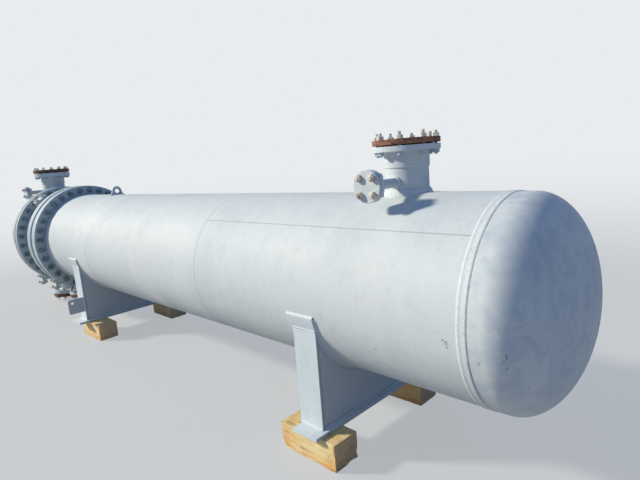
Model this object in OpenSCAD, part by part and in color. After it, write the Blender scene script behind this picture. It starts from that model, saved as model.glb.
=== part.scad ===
// Horizontal shell and tube heat exchanger, standing on two saddles and four timber blocks.
// X runs along the vessel towards the rear dished end, -Y is the side with the small nozzles,
// Z is up, and the origin is on the ground under the middle of the vessel.

/* [Shell] */
// Outside diameter of the shell and of every barrel
shell_od = 990.6; // [955:0.1:1025]
// Thickness of the rolled plate
shell_wall = 12.7; // [9:0.1:20]
// Length of the rear course, from the rear head's weld to the middle seam
rear_course_len = 1943; // [1840:1:2600]
// Length of the front course, from the middle seam to the shell flange
front_course_len = 3079; // [2980:1:3680]
// Width of a weld bead on a seam
bead_w = 14; // [8:1:20]
// Height of a weld bead above the plate
bead_h = 2.5; // [1:0.5:5]

/* [Dished ends] */
// Straight skirt of a dished end, before its curve starts
head_skirt = 54; // [27:1:81]
// Depth of the curved part of a dished end
head_depth = 247.6; // [195:0.1:303]
// Thickness of a dished end
head_wall = 14; // [10:0.1:24]
// Width of the dressed band over the rear head's weld
band_w = 46.5; // [32:0.5:65]
// Height of the dressed band above the plate
band_h = 3.5; // [2:0.5:6]

/* [Body flanges] */
// Distance of the body studs' circle from the barrels' surface
body_stud_out = 54.5; // [48:0.1:65]
// Distance from the body studs' circle to the flanges' rim
body_edge = 50.5; // [40:0.5:65]
// Thickness of each flange at the shell joint
shell_joint_t = 103; // [76:1:119]
// Thickness of each flange at the bonnet joint
bonnet_joint_t = 52; // [43:1:76]
// Length of the tapered hub behind a body flange
hub_len = 48; // [27:1:54]
// Height of the hub above the barrel where it meets the flange
hub_h = 16; // [9:0.5:19]
// Thickness of the spacer ring between the shell joint's flanges
spacer_t = 60; // [22:1:86]
// Radial width of the spacer ring
spacer_w = 30; // [16:1:37]
// Thickness of the tubesheet
tubesheet_t = 35; // [27:1:65]
// Number of studs in each body joint
body_studs = 32; // [24:4:36]
// Diameter of a body stud
body_stud_d = 31.8; // [24:0.1:35]
// Width across the flats of a body nut
body_nut_af = 50.8; // [41:0.1:54]

/* [Spool and bonnet] */
// Length of the spool's barrel between its two flanges
spool_len = 438; // [412:1:650]
// Length of the bonnet's barrel, from its flange to its head
bonnet_len = 452; // [412:1:650]

/* [Shell nozzles] */
// Rear nozzle's distance in front of the rear head's weld
rear_nozzle_from_head = 572; // [433:1:672]
// Spool nozzle's distance in front of the spool's middle
spool_nozzle_shift = 32; // [0:1:34]
// Outside diameter of a shell nozzle's neck
shell_neck_od = 219.1; // [200:0.1:232]
// Bore of a shell nozzle
shell_neck_bore = 193.7; // [150:0.1:196]
// Distance of a shell nozzle's stud circle from its neck
shell_stud_out = 39.7; // [35:0.1:49]
// Distance from a shell nozzle's stud circle to its flange's rim
shell_nozzle_edge = 22.2; // [21:0.1:38]
// Thickness of a shell nozzle's flange
shell_nozzle_flange_t = 28.6; // [22:0.1:40]
// Thickness of a shell nozzle's blind flange
shell_nozzle_blind_t = 28.6; // [20:0.1:40]
// Height of a shell nozzle's joint above the shell's surface
shell_nozzle_reach = 239; // [206:1:282]
// Height of the step in a shell nozzle's neck above the shell's surface
shell_step_height = 132; // [119:1:146]

/* [Bonnet nozzles] */
// Gap between the bonnet flange's hub and a bonnet nozzle's neck
bonnet_neck_gap = 14.5; // [13:0.5:43]
// Outside diameter of a bonnet nozzle's neck
bonnet_neck_od = 254.5; // [233:0.5:270]
// Bore of a bonnet nozzle
bonnet_neck_bore = 206; // [173:1:217]
// Distance of a bonnet nozzle's stud circle from its neck
bonnet_stud_out = 51.5; // [39:0.5:65]
// Distance from a bonnet nozzle's stud circle to its flange's rim
bonnet_nozzle_edge = 27.5; // [22:0.5:38]
// Thickness of a bonnet nozzle's flange
bonnet_nozzle_flange_t = 47.5; // [33:0.5:54]
// Thickness of a bonnet nozzle's blind flange
bonnet_nozzle_blind_t = 38; // [27:1:52]
// Height of a bonnet nozzle's joint above the bonnet's surface
bonnet_nozzle_reach = 289; // [260:1:314]
// Height of the step in a bonnet nozzle's neck above the bonnet's surface
bonnet_step_height = 152; // [125:1:173]

/* [Nozzle bolting] */
// Number of studs in a shell nozzle's joint
shell_nozzle_studs = 8; // [8:4:12]
// Number of studs in a bonnet nozzle's joint
bonnet_nozzle_studs = 12; // [8:4:12]
// Diameter of a nozzle stud
nozzle_stud_d = 19; // [16:0.5:22]
// Width across the flats of a nozzle nut
nozzle_nut_af = 31.8; // [27:0.1:34]
// Thickness of the gasket in every nozzle joint
gasket_t = 3; // [2:0.5:5]
// Length of a nozzle stud past its outer nut
nozzle_tail = 18; // [5:1:24]
// Distance of a raised face's rim inside the stud holes
face_inset = 3.2; // [1:0.1:8]
// Height of the fillet weld round a neck
fillet_h = 22; // [11:1:24]
// Radial step from a neck's lower part to its upper part
neck_swell = 5.5; // [2:0.5:9]
// Length of the slope at that step
swell_len = 6.5; // [3:0.5:13]
// Radial height of the flare under a nozzle's flange
neck_flare = 6.5; // [2:0.5:9]
// Length of that flare
flare_len = 9; // [4:1:17]

/* [Side nozzles] */
// Outside diameter of a side nozzle's pipe
side_pipe_od = 48.3; // [42:0.1:54]
// Bore of a side nozzle's pipe
side_pipe_bore = 38.1; // [25:0.1:39]
// Distance of a side nozzle's stud circle from its pipe
side_stud_out = 33; // [30:0.5:40]
// Distance from a side nozzle's stud circle to its flange's rim
side_edge = 20.5; // [19:0.5:28]
// Thickness of a side nozzle's flange
side_flange_t = 19; // [13:1:24]
// Thickness of a side nozzle's blind flange
side_blind_t = 18; // [13:1:24]
// Height of a side nozzle's axis above the shell's surface
side_height = 58.5; // [50:0.5:67]
// Distance of a side nozzle's blind face from the vessel's middle plane
side_reach = 338; // [315:1:368]
// Diameter of a side nozzle's stud
side_stud_d = 19; // [13:0.5:19]
// Width across the flats of a side nozzle's nut
side_nut_af = 31.8; // [24:0.1:32]
// Lean of the spool's vent nozzle from upright towards the small nozzles' side
vent_lean = 35; // [30:1:50]
// Height of the vent nozzle's blind face above the spool's surface
vent_height = 97; // [92:0.5:152]

/* [Saddles] */
// Distance between the two saddles
saddle_spacing = 3302; // [3150:1:3360]
// Rear saddle's distance in front of the rear head's weld
rear_saddle_from_head = 936; // [867:1:1083]
// Height of the vessel's axis above the underside of the base plates
saddle_height = 739; // [700:1:800]
// Length of a base plate across the vessel
base_len = 1116; // [1040:1:1170]
// Width of a base plate along the vessel
base_w = 183; // [163:1:238]
// Thickness of a base plate
base_t = 20; // [13:1:27]
// Base plate's centre behind the saddle's centre
base_shift = 22; // [0:0.5:32]
// Distance of the end ribs' outer faces inside the wear plate's outer surface
rib_inset = 30.5; // [22:0.1:43]
// Width of a rib along the vessel
rib_w = 168; // [141:1:173]
// Thickness of a web or rib
web_t = 12.7; // [9:0.1:16]
// Depth of the flat left on top of an end rib, outside the wear plate
rib_land = 5.2; // [2:0.1:11]
// Distance of the web inside the ribs' rear edges
web_inset = 4.5; // [0:0.5:20]
// Distance between the middle ribs
mid_rib_span = 318; // [260:1:357]
// Width of a wear plate along the vessel
wear_w = 199; // [179:1:238]
// Wear plate's centre in front of the saddle's centre
wear_shift = 13; // [0:0.5:15]
// Thickness of a wear plate
wear_t = 12.7; // [9:0.1:17]
// Angle that a wear plate wraps round the vessel
wear_wrap = 157; // [150:1:164]
// Diameter of an anchor bolt hole
anchor_d = 26; // [20:1:30]
// Distance between the anchor holes across the vessel
anchor_span = 495; // [466:1:503]

/* [Lugs] */
// Diameter of the hole in the lifting lug
lift_hole_d = 43; // [27:1:48]
// Width of the lifting lug across the vessel, at its foot
lift_w = 126; // [98:1:152]
// Width of the lifting lug's round top
lift_top_w = 94; // [76:1:96]
// Height of the lifting lug's hole above the shell's surface
lift_hole_height = 39; // [30:1:49]
// Thickness of the lifting lug
lift_t = 17; // [11:1:27]
// Lifting lug's distance behind the front saddle
lift_from_saddle = 101; // [0:1:130]
// Reach of a pull lug beyond the end rib
pull_reach = 150; // [120:1:163]
// Height of a pull lug
pull_h = 147; // [110:1:173]
// Diameter of the hole in a pull lug
pull_hole_d = 24; // [17:1:28]
// Distance of a pull lug's hole from its free end and top
pull_hole_inset = 39; // [32:1:54]
// Height of a pull lug's lower edge above the base plate
pull_height = 95; // [80:1:180]
// Radius of a pull lug's outer corners
pull_corner = 20; // [5:1:32]

/* [Timbers] */
// Length of a timber block along the vessel
timber_len = 406; // [325:1:540]
// Width of a timber block
timber_w = 178; // [152:1:195]
// Height of a timber block
timber_h = 152.5; // [108:0.5:216]
// Near rear timber's outer face, from the middle plane
rear_near_y = 525; // [477:1:541]
// Near front timber's outer face, from the middle plane
front_near_y = 466; // [460:1:541]
// Far timbers' outer faces, from the middle plane
far_y = 476; // [466:1:541]
// Rear near timber's rear end, behind the rear saddle's centre
rear_timber_end = 204; // [152:1:216]
// Rear far timber's rear end, in front of the near one's
rear_far_shift = 21; // [0:1:43]
// Front timbers' rear ends, behind the front saddle's centre
front_timber_end = 330; // [271:1:336]

/* [Hidden] */
$fn = 96;

// Colours
paint = [0.74, 0.79, 0.82];
shade_paint = [0.66, 0.71, 0.75];
steel = [0.62, 0.61, 0.58];
rust = [0.38, 0.24, 0.19];
graphite = [0.2, 0.2, 0.21];
pine = [0.80, 0.66, 0.42];

// Shell radii
shell_r = shell_od / 2;
shell_ir = shell_r - shell_wall;

// Flanges and bolt circles
body_pcd = shell_od + 2 * body_stud_out;
body_flange_od = body_pcd + 2 * body_edge;
shell_nozzle_pcd = shell_neck_od + 2 * shell_stud_out;
shell_nozzle_od = shell_nozzle_pcd + 2 * shell_nozzle_edge;
bonnet_nozzle_pcd = bonnet_neck_od + 2 * bonnet_stud_out;
bonnet_nozzle_od = bonnet_nozzle_pcd + 2 * bonnet_nozzle_edge;
side_pcd = side_pipe_od + 2 * side_stud_out;
side_flange_od = side_pcd + 2 * side_edge;

// Heights
axis_z = timber_h + saddle_height;
base_top = base_t - saddle_height;

// Places along the vessel, counted from the rear head's weld, negative towards the bonnet
mid_seam = -rear_course_len;
shell_face = mid_seam - front_course_len;
spacer_rear = shell_face - shell_joint_t;
spacer_front = spacer_rear - spacer_t;
spool_rear = spacer_front - shell_joint_t;
spool_front = spool_rear - spool_len;
tubesheet_rear = spool_front - bonnet_joint_t;
tubesheet_front = tubesheet_rear - tubesheet_t;
bonnet_rear = tubesheet_front - bonnet_joint_t;
bonnet_seam = bonnet_rear - bonnet_len;
head_len = head_skirt + head_depth;
rear_tip = head_len;
front_tip = bonnet_seam - head_len;
middle = (rear_tip + front_tip) / 2;
rear_nozzle_x = -rear_nozzle_from_head;
spool_nozzle_x = (spool_rear + spool_front) / 2 - spool_nozzle_shift;
bonnet_nozzle_x = bonnet_rear - hub_len - bonnet_neck_gap - bonnet_neck_od / 2;
rear_saddle_x = -rear_saddle_from_head;
front_saddle_x = rear_saddle_x - saddle_spacing;

// Saddle places, along the vessel from the saddle's centre and across it from the middle plane
web_x = rib_w / 2 - web_t / 2 - web_inset;
cradle_r = shell_r + wear_t;
rib_y = cradle_r - rib_inset;
rib_top = -sqrt(pow(cradle_r, 2) - pow(rib_y, 2)) - rib_land;

// Clearance round a stud in its hole, length of a stud past its nut, and height of a raised face
stud_clearance = 1.6;
tail = 8;
raised_face = 2;

// Small nozzles' joints, from the vessel's middle plane and from its axis
side_joint = side_reach - side_blind_t;
vent_joint = shell_r + vent_height - side_blind_t;

// How far every cut runs past the face that it opens
cut = 1;

// Moves a piece drawn round the vessel's axis, with Z along it, to its place
module on_axis(x) {
  translate([x - middle, 0, axis_z])
    rotate([0, 90, 0])
      children();
}

// Moves a piece drawn with Z outwards from the vessel's axis to its place
module on_shell(x, lean = 0) {
  translate([x - middle, 0, axis_z])
    rotate([lean, 0, 0])
      children();
}

// Repeats a piece round a bolt circle
module bolt_circle(pcd, count) {
  for (i = [0 : count - 1])
    rotate([0, 0, (i + 0.5) * 360 / count])
      translate([pcd / 2, 0, 0])
        children();
}

// A tube along Z from 0 to its length
module tube(outer_r, inner_r, length) {
  difference() {
    cylinder(r = outer_r, h = length);
    translate([0, 0, -cut])
      cylinder(r = inner_r, h = length + 2 * cut);
  }
}

// A stud through a joint of the given thickness, with a nut on each face, centred on Z = 0
module stud(d, af, grip, outer_tail = tail) {
  translate([0, 0, -grip / 2 - d - tail])
    cylinder(d = d, h = grip + 2 * d + tail + outer_tail);
  for (side = [0, 1])
    mirror([0, 0, side])
      translate([0, 0, grip / 2])
        cylinder(d = af / cos(30), h = d, $fn = 6);
}

// A raised weld bead round a barrel, centred on Z = 0
module bead() {
  rotate_extrude()
    polygon([
      [shell_r, -bead_w / 2],
      [shell_r + bead_h, -bead_w / 4],
      [shell_r + bead_h, bead_w / 4],
      [shell_r, bead_w / 2]
    ]);
}

// A bore through the plate for a nozzle, drawn with Z outwards
module nozzle_bore(bore) {
  cylinder(d = bore, h = shell_od);
}

// A dished end with its skirt, opening at Z = 0 and closing upwards
module dished_end() {
  steps = 30;
  outer = [for (i = [0 : steps])
    [shell_r * cos(90 * i / steps), head_skirt + head_depth * sin(90 * i / steps)]];
  inner = [for (i = [steps : -1 : 0])
    [(shell_r - head_wall) * cos(90 * i / steps),
     head_skirt + (head_depth - head_wall) * sin(90 * i / steps)]];
  rotate_extrude()
    polygon(concat([[shell_r, 0]], outer, inner, [[shell_r - head_wall, 0]]));
}

// A body flange with a tapered hub on its upper side, bolted face at Z = 0
module body_flange(thickness) {
  difference() {
    union() {
      cylinder(d = body_flange_od, h = thickness);
      translate([0, 0, thickness])
        cylinder(r1 = shell_r + hub_h, r2 = shell_r, h = hub_len);
    }
    translate([0, 0, -cut])
      cylinder(r = shell_ir, h = thickness + hub_len + 2 * cut);
    body_holes(thickness);
  }
}

// The stud holes of a body flange or tubesheet that stands on Z = 0
module body_holes(thickness) {
  bolt_circle(body_pcd, body_studs)
    translate([0, 0, -cut])
      cylinder(d = body_stud_d + 2 * stud_clearance, h = thickness + 2 * cut);
}

// The ring of studs through a body joint, centred on Z = 0
module body_joint_studs(grip) {
  bolt_circle(body_pcd, body_studs)
    stud(body_stud_d, body_nut_af, grip);
}

// A long forged neck with its flange, standing on the barrel, drawn with Z outwards
module nozzle(neck_od, bore, flange_od, pcd, studs, flange_t, reach, step_height) {
  face = shell_r + reach;
  back = face - flange_t;
  step = shell_r + step_height;
  upper_od = neck_od + 2 * neck_swell;
  difference() {
    union() {
      cylinder(d = neck_od, h = step);
      translate([0, 0, step])
        cylinder(d1 = neck_od, d2 = upper_od, h = swell_len);
      translate([0, 0, step + swell_len])
        cylinder(d = upper_od, h = back - step - swell_len);
      translate([0, 0, back - flare_len])
        cylinder(d1 = upper_od, d2 = upper_od + 2 * neck_flare, h = flare_len);
      translate([0, 0, back])
        cylinder(d = flange_od, h = flange_t - raised_face);
      translate([0, 0, face - raised_face])
        cylinder(d = face_d(pcd), h = raised_face);
      neck_fillet(neck_od);
    }
    rotate([0, 90, 0])
      cylinder(r = shell_r, h = 4 * neck_od, center = true);
    translate([0, 0, -cut])
      cylinder(d = bore, h = face + 2 * cut);
    nozzle_holes(pcd, studs, back, flange_t);
    side_hole();
  }
}

// The fillet weld round a neck, from the barrel's surface beside it up the neck
module neck_fillet(neck_od) {
  foot_r = neck_od / 2 + fillet_h;
  foot = sqrt(pow(shell_r, 2) - pow(foot_r, 2)) - 4 * cut;
  translate([0, 0, foot])
    cylinder(r1 = foot_r, r2 = neck_od / 2, h = shell_r + fillet_h - foot);
}

// Diameter of a large nozzle's raised face and gasket
function face_d(pcd) = pcd - nozzle_stud_d - 2 * (stud_clearance + face_inset);

// The stud holes of a large nozzle's flange or blind
module nozzle_holes(pcd, studs, bottom, thickness) {
  bolt_circle(pcd, studs)
    translate([0, 0, bottom - cut])
      cylinder(d = nozzle_stud_d + 2 * stud_clearance, h = thickness + 2 * cut);
}

// The hole for a side nozzle in its main neck, drawn with Z outwards
module side_hole() {
  translate([0, 0, shell_r + side_height])
    rotate([90, 0, 0])
      cylinder(d = side_pipe_bore, h = side_reach);
}

// A blind flange over a nozzle, drawn with Z outwards
module nozzle_blind(flange_od, pcd, studs, blind_t, reach) {
  bottom = shell_r + reach + gasket_t;
  difference() {
    union() {
      translate([0, 0, bottom])
        cylinder(d = face_d(pcd), h = raised_face);
      translate([0, 0, bottom + raised_face])
        cylinder(d = flange_od, h = blind_t - raised_face);
    }
    nozzle_holes(pcd, studs, bottom, blind_t);
  }
}

// The studs of a nozzle joint, drawn with Z outwards
module nozzle_joint_studs(pcd, studs, flange_t, blind_t, reach) {
  grip = flange_t + gasket_t + blind_t;
  translate([0, 0, shell_r + reach - flange_t + grip / 2])
    bolt_circle(pcd, studs)
      stud(nozzle_stud_d, nozzle_nut_af, grip, nozzle_tail);
}

// The gasket of a nozzle joint, drawn with Z outwards
module nozzle_gasket(pcd, bore, reach) {
  translate([0, 0, shell_r + reach])
    tube(face_d(pcd) / 2, bore / 2, gasket_t);
}

// Moves a piece drawn up Z from the main nozzle's axis out to the side nozzle's place
module on_side() {
  translate([0, 0, shell_r + side_height])
    rotate([90, 0, 0])
      children();
}

// A small pipe and flange, drawn up Z, with its joint at the given height
module small_nozzle(joint) {
  difference() {
    union() {
      cylinder(d = side_pipe_od, h = joint - side_flange_t);
      translate([0, 0, joint - side_flange_t - gasket_t])
        cylinder(d = side_flange_od, h = side_flange_t);
    }
    translate([0, 0, -cut])
      cylinder(d = side_pipe_bore, h = joint + 2 * cut);
    small_holes(joint - side_flange_t - gasket_t, side_flange_t);
  }
}

// The bolt holes of a small flange
module small_holes(bottom, thickness) {
  bolt_circle(side_pcd, 4)
    translate([0, 0, bottom - cut])
      cylinder(d = side_stud_d + 2 * stud_clearance, h = thickness + 2 * cut);
}

// A small blind flange above its joint
module small_blind(joint) {
  difference() {
    translate([0, 0, joint])
      cylinder(d = side_flange_od, h = side_blind_t);
    small_holes(joint, side_blind_t);
  }
}

// The four studs of a small joint
module small_studs(joint) {
  grip = side_flange_t + gasket_t + side_blind_t;
  translate([0, 0, joint + side_blind_t - grip / 2])
    bolt_circle(side_pcd, 4)
      stud(side_stud_d, side_nut_af, grip);
}

// The gasket of a small joint
module small_gasket(joint) {
  translate([0, 0, joint - gasket_t])
    tube(side_pcd / 2 - side_stud_d, side_pipe_bore / 2, gasket_t);
}

// Draws a piece at every large nozzle that has a side nozzle
module at_side_nozzles() {
  on_shell(rear_nozzle_x) on_side() children();
  on_shell(bonnet_nozzle_x) on_side() children();
  on_shell(bonnet_nozzle_x) mirror([0, 0, 1]) on_side() children();
  on_shell(spool_nozzle_x) mirror([0, 0, 1]) on_side() children();
}

module rear_course() {
  color(paint)
    difference() {
      on_axis(mid_seam)
        tube(shell_r, shell_ir, rear_course_len);
      on_shell(rear_nozzle_x)
        nozzle_bore(shell_neck_bore);
    }
}

module front_course() {
  color(paint)
    on_axis(shell_face + hub_len)
      tube(shell_r, shell_ir, front_course_len - hub_len);
}

module rear_head() {
  color(paint)
    on_axis(0)
      dished_end();
}

module head_weld_band() {
  color(paint)
    on_axis(-band_w)
      tube(shell_r + band_h, shell_r, band_w);
}

module girth_welds() {
  from_hub = hub_len + bead_w / 2;
  places = [mid_seam, shell_face + from_hub, spool_rear - from_hub, spool_front + from_hub,
    bonnet_rear - from_hub, bonnet_seam];
  color(paint)
    difference() {
      for (x = places)
        on_axis(x)
          bead();
      clear_of_fillets();
    }
}

// Room for the large nozzles' fillet welds on the spool and the bonnet
module clear_of_fillets() {
  on_shell(bonnet_nozzle_x)
    cylinder(d = bonnet_neck_od + 2 * fillet_h, h = 3 * shell_od, center = true);
  on_shell(spool_nozzle_x)
    mirror([0, 0, 1])
      cylinder(d = shell_neck_od + 2 * fillet_h, h = shell_od);
}

module shell_flange() {
  color(shade_paint)
    on_axis(spacer_rear)
      body_flange(shell_joint_t);
}

module spacer_ring() {
  color(graphite)
    on_axis(spacer_front)
      tube(shell_ir + spacer_w, shell_ir, spacer_t);
}

module spool_front_flange() {
  color(shade_paint)
    on_axis(spacer_front)
      mirror([0, 0, 1])
        body_flange(shell_joint_t);
}

module shell_joint_studs() {
  color(steel)
    on_axis((shell_face + spool_rear) / 2)
      body_joint_studs(shell_face - spool_rear);
}

module spool_barrel() {
  color(paint)
    difference() {
      on_axis(spool_front + hub_len)
        tube(shell_r, shell_ir, spool_len - 2 * hub_len);
      on_shell(spool_nozzle_x)
        mirror([0, 0, 1])
          nozzle_bore(shell_neck_bore);
      on_shell(spool_nozzle_x, vent_lean)
        nozzle_bore(side_pipe_bore);
    }
}

module spool_bonnet_flange() {
  color(shade_paint)
    on_axis(tubesheet_rear)
      body_flange(bonnet_joint_t);
}

module tubesheet() {
  color(graphite)
    on_axis(tubesheet_front)
      difference() {
        cylinder(d = body_flange_od, h = tubesheet_t);
        body_holes(tubesheet_t);
      }
}

module bonnet_flange() {
  color(shade_paint)
    on_axis(tubesheet_front)
      mirror([0, 0, 1])
        body_flange(bonnet_joint_t);
}

module bonnet_joint_studs() {
  color(steel)
    on_axis((spool_front + bonnet_rear) / 2)
      body_joint_studs(spool_front - bonnet_rear);
}

module bonnet_barrel() {
  color(paint)
    difference() {
      on_axis(bonnet_seam)
        tube(shell_r, shell_ir, bonnet_len - hub_len);
      for (side = [0, 1])
        on_shell(bonnet_nozzle_x)
          mirror([0, 0, side])
            nozzle_bore(bonnet_neck_bore);
    }
}

module bonnet_head() {
  color(paint)
    on_axis(bonnet_seam)
      mirror([0, 0, 1])
        dished_end();
}

module shell_nozzle_neck() {
  nozzle(shell_neck_od, shell_neck_bore, shell_nozzle_od, shell_nozzle_pcd,
    shell_nozzle_studs, shell_nozzle_flange_t, shell_nozzle_reach, shell_step_height);
}

module bonnet_nozzle_neck() {
  nozzle(bonnet_neck_od, bonnet_neck_bore, bonnet_nozzle_od, bonnet_nozzle_pcd,
    bonnet_nozzle_studs, bonnet_nozzle_flange_t, bonnet_nozzle_reach, bonnet_step_height);
}

module shell_nozzle_blind() {
  nozzle_blind(shell_nozzle_od, shell_nozzle_pcd, shell_nozzle_studs, shell_nozzle_blind_t,
    shell_nozzle_reach);
}

module shell_nozzle_bolting() {
  nozzle_joint_studs(shell_nozzle_pcd, shell_nozzle_studs, shell_nozzle_flange_t,
    shell_nozzle_blind_t, shell_nozzle_reach);
}

module rear_nozzle() {
  color(paint)
    on_shell(rear_nozzle_x)
      shell_nozzle_neck();
}

module rear_nozzle_blind() {
  color(rust)
    on_shell(rear_nozzle_x)
      shell_nozzle_blind();
}

module rear_nozzle_studs() {
  color(steel)
    on_shell(rear_nozzle_x)
      shell_nozzle_bolting();
}

module spool_nozzle() {
  color(paint)
    on_shell(spool_nozzle_x)
      mirror([0, 0, 1])
        shell_nozzle_neck();
}

module spool_nozzle_blind() {
  color(rust)
    on_shell(spool_nozzle_x)
      mirror([0, 0, 1])
        shell_nozzle_blind();
}

module spool_nozzle_studs() {
  color(steel)
    on_shell(spool_nozzle_x)
      mirror([0, 0, 1])
        shell_nozzle_bolting();
}

// One of the bonnet's two nozzles, upper with side 0 and lower with side 1
module bonnet_nozzle(side) {
  color(paint)
    on_shell(bonnet_nozzle_x)
      mirror([0, 0, side])
        bonnet_nozzle_neck();
}

module bonnet_blind(side) {
  color(rust)
    on_shell(bonnet_nozzle_x)
      mirror([0, 0, side])
        nozzle_blind(bonnet_nozzle_od, bonnet_nozzle_pcd, bonnet_nozzle_studs,
          bonnet_nozzle_blind_t, bonnet_nozzle_reach);
}

module bonnet_studs(side) {
  color(steel)
    on_shell(bonnet_nozzle_x)
      mirror([0, 0, side])
        nozzle_joint_studs(bonnet_nozzle_pcd, bonnet_nozzle_studs, bonnet_nozzle_flange_t,
          bonnet_nozzle_blind_t, bonnet_nozzle_reach);
}

// Takes away the main necks and the barrel, so that the small pipes stand on them
module clear_of_necks() {
  difference() {
    children();
    for (x = [rear_nozzle_x, spool_nozzle_x])
      on_shell(x)
        cylinder(d = shell_neck_od, h = 3 * shell_od, center = true);
    on_shell(bonnet_nozzle_x)
      cylinder(d = bonnet_neck_od, h = 3 * shell_od, center = true);
  }
}

module side_nozzles() {
  color(paint) {
    clear_of_necks()
      at_side_nozzles()
        small_nozzle(side_joint);
    difference() {
      on_shell(spool_nozzle_x, vent_lean)
        small_nozzle(vent_joint);
      on_axis(spool_front)
        cylinder(r = shell_r, h = spool_len);
    }
  }
}

module side_blinds() {
  color(paint) {
    at_side_nozzles()
      small_blind(side_joint);
    on_shell(spool_nozzle_x, vent_lean)
      small_blind(vent_joint);
  }
}

module side_studs() {
  color(steel) {
    at_side_nozzles()
      small_studs(side_joint);
    on_shell(spool_nozzle_x, vent_lean)
      small_studs(vent_joint);
  }
}

module nozzle_gaskets() {
  color(graphite) {
    on_shell(rear_nozzle_x)
      nozzle_gasket(shell_nozzle_pcd, shell_neck_bore, shell_nozzle_reach);
    on_shell(spool_nozzle_x)
      mirror([0, 0, 1])
        nozzle_gasket(shell_nozzle_pcd, shell_neck_bore, shell_nozzle_reach);
    for (side = [0, 1])
      on_shell(bonnet_nozzle_x)
        mirror([0, 0, side])
          nozzle_gasket(bonnet_nozzle_pcd, bonnet_neck_bore, bonnet_nozzle_reach);
    at_side_nozzles()
      small_gasket(side_joint);
    on_shell(spool_nozzle_x, vent_lean)
      small_gasket(vent_joint);
  }
}

// The curved plate between a saddle and the shell
module wear_plate(x) {
  color(paint)
    on_axis(x - wear_shift - wear_w / 2)
      rotate([0, 0, -wear_wrap / 2])
        rotate_extrude(angle = wear_wrap)
          translate([shell_r, 0])
            square([wear_t, wear_w]);
}

// Room for the shell and its wear plate in a saddle's plates
module cradle() {
  rotate([0, 90, 0])
    cylinder(r = cradle_r, h = 3 * base_w, center = true, $fn = 240);
}

// The cross web of a saddle
module saddle_web(x) {
  web_half = rib_y - web_t;
  color(shade_paint)
    on_shell(x)
      difference() {
        translate([web_x - web_t / 2, -web_half, base_top])
          cube([web_t, 2 * web_half, rib_top - base_top]);
        cradle();
      }
}

// The end ribs and the middle ribs of a saddle
module saddle_ribs(x) {
  mid_len = web_x - web_t / 2 + rib_w / 2;
  color(paint)
    on_shell(x)
      difference() {
        union() {
          for (side = [-1, 1])
            translate([-rib_w / 2, side * (rib_y - web_t / 2) - web_t / 2, base_top])
              cube([rib_w, web_t, rib_top - base_top]);
          for (side = [-1, 1])
            translate([-rib_w / 2, side * mid_rib_span / 2 - web_t / 2, base_top])
              cube([mid_len, web_t, rib_top - base_top]);
        }
        cradle();
      }
}

// The base plate of a saddle with its anchor holes
module base_plate(x) {
  color(paint)
    on_shell(x)
      difference() {
        translate([base_shift - base_w / 2, -base_len / 2, -saddle_height])
          cube([base_w, base_len, base_t]);
        for (side = [-1, 1])
          translate([0, side * anchor_span / 2, -saddle_height - cut])
            cylinder(d = anchor_d, h = base_t + 2 * cut);
      }
}

// The lug's round top is turned so that its circle starts at the crown, away from the sloping sides
module lifting_lug() {
  hole_z = shell_r + lift_hole_height;
  foot = sqrt(pow(shell_r, 2) - pow(lift_w / 2, 2));
  taper = (lift_w - lift_top_w) / 2 / (hole_z - foot);
  color(paint)
    on_shell(front_saddle_x + lift_from_saddle)
      difference() {
        translate([-lift_t / 2, 0, 0])
          rotate([90, 0, 90])
            linear_extrude(lift_t)
              union() {
                translate([0, hole_z])
                  rotate(90)
                    circle(d = lift_top_w);
                lug_sides(hole_z + lift_hole_d / 4, foot - lift_top_w / 2, hole_z, taper);
              }
        translate([-lift_t, 0, hole_z])
          rotate([0, 90, 0])
            cylinder(d = lift_hole_d, h = 2 * lift_t);
        rotate([0, 90, 0])
          cylinder(r = shell_r, h = 4 * lift_t, center = true);
      }
}

// The lifting lug's sloping sides between two heights, as wide as its round top at the hole
module lug_sides(top, bottom, hole_z, taper) {
  top_half = lift_top_w / 2 - taper * (top - hole_z);
  bottom_half = lift_top_w / 2 + taper * (hole_z - bottom);
  polygon([[-bottom_half, bottom], [bottom_half, bottom], [top_half, top], [-top_half, top]]);
}

// The plates that stand out from the end ribs of the front saddle, in line with its web
module pull_lugs() {
  lug_z = base_top + pull_height;
  lug_y = -rib_y - pull_reach;
  color(paint)
    on_shell(front_saddle_x)
      for (side = [0, 1])
        mirror([0, side, 0])
          difference() {
            translate([web_x - web_t / 2, lug_y, lug_z])
              union() {
                translate([0, pull_corner, 0])
                  cube([web_t, pull_reach - pull_corner, pull_h]);
                translate([0, 0, pull_corner])
                  cube([web_t, pull_corner, pull_h - 2 * pull_corner]);
                for (z = [pull_corner, pull_h - pull_corner])
                  translate([0, pull_corner, z])
                    rotate([0, 90, 0])
                      cylinder(r = pull_corner, h = web_t);
              }
            translate([web_x - web_t, lug_y + pull_hole_inset, lug_z + pull_h - pull_hole_inset])
              rotate([0, 90, 0])
                cylinder(d = pull_hole_d, h = 2 * web_t);
          }
}

// A timber block, given its rear end and its outer face
module timber(end_x, outer_y) {
  translate([end_x - timber_len - middle, outer_y > 0 ? outer_y - timber_w : outer_y, 0])
    cube([timber_len, timber_w, timber_h]);
}

module rear_timbers() {
  color(pine) {
    timber(rear_saddle_x + rear_timber_end, -rear_near_y);
    timber(rear_saddle_x + rear_timber_end - rear_far_shift, far_y);
  }
}

module front_timbers() {
  color(pine) {
    timber(front_saddle_x + front_timber_end, -front_near_y);
    timber(front_saddle_x + front_timber_end, far_y);
  }
}

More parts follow.
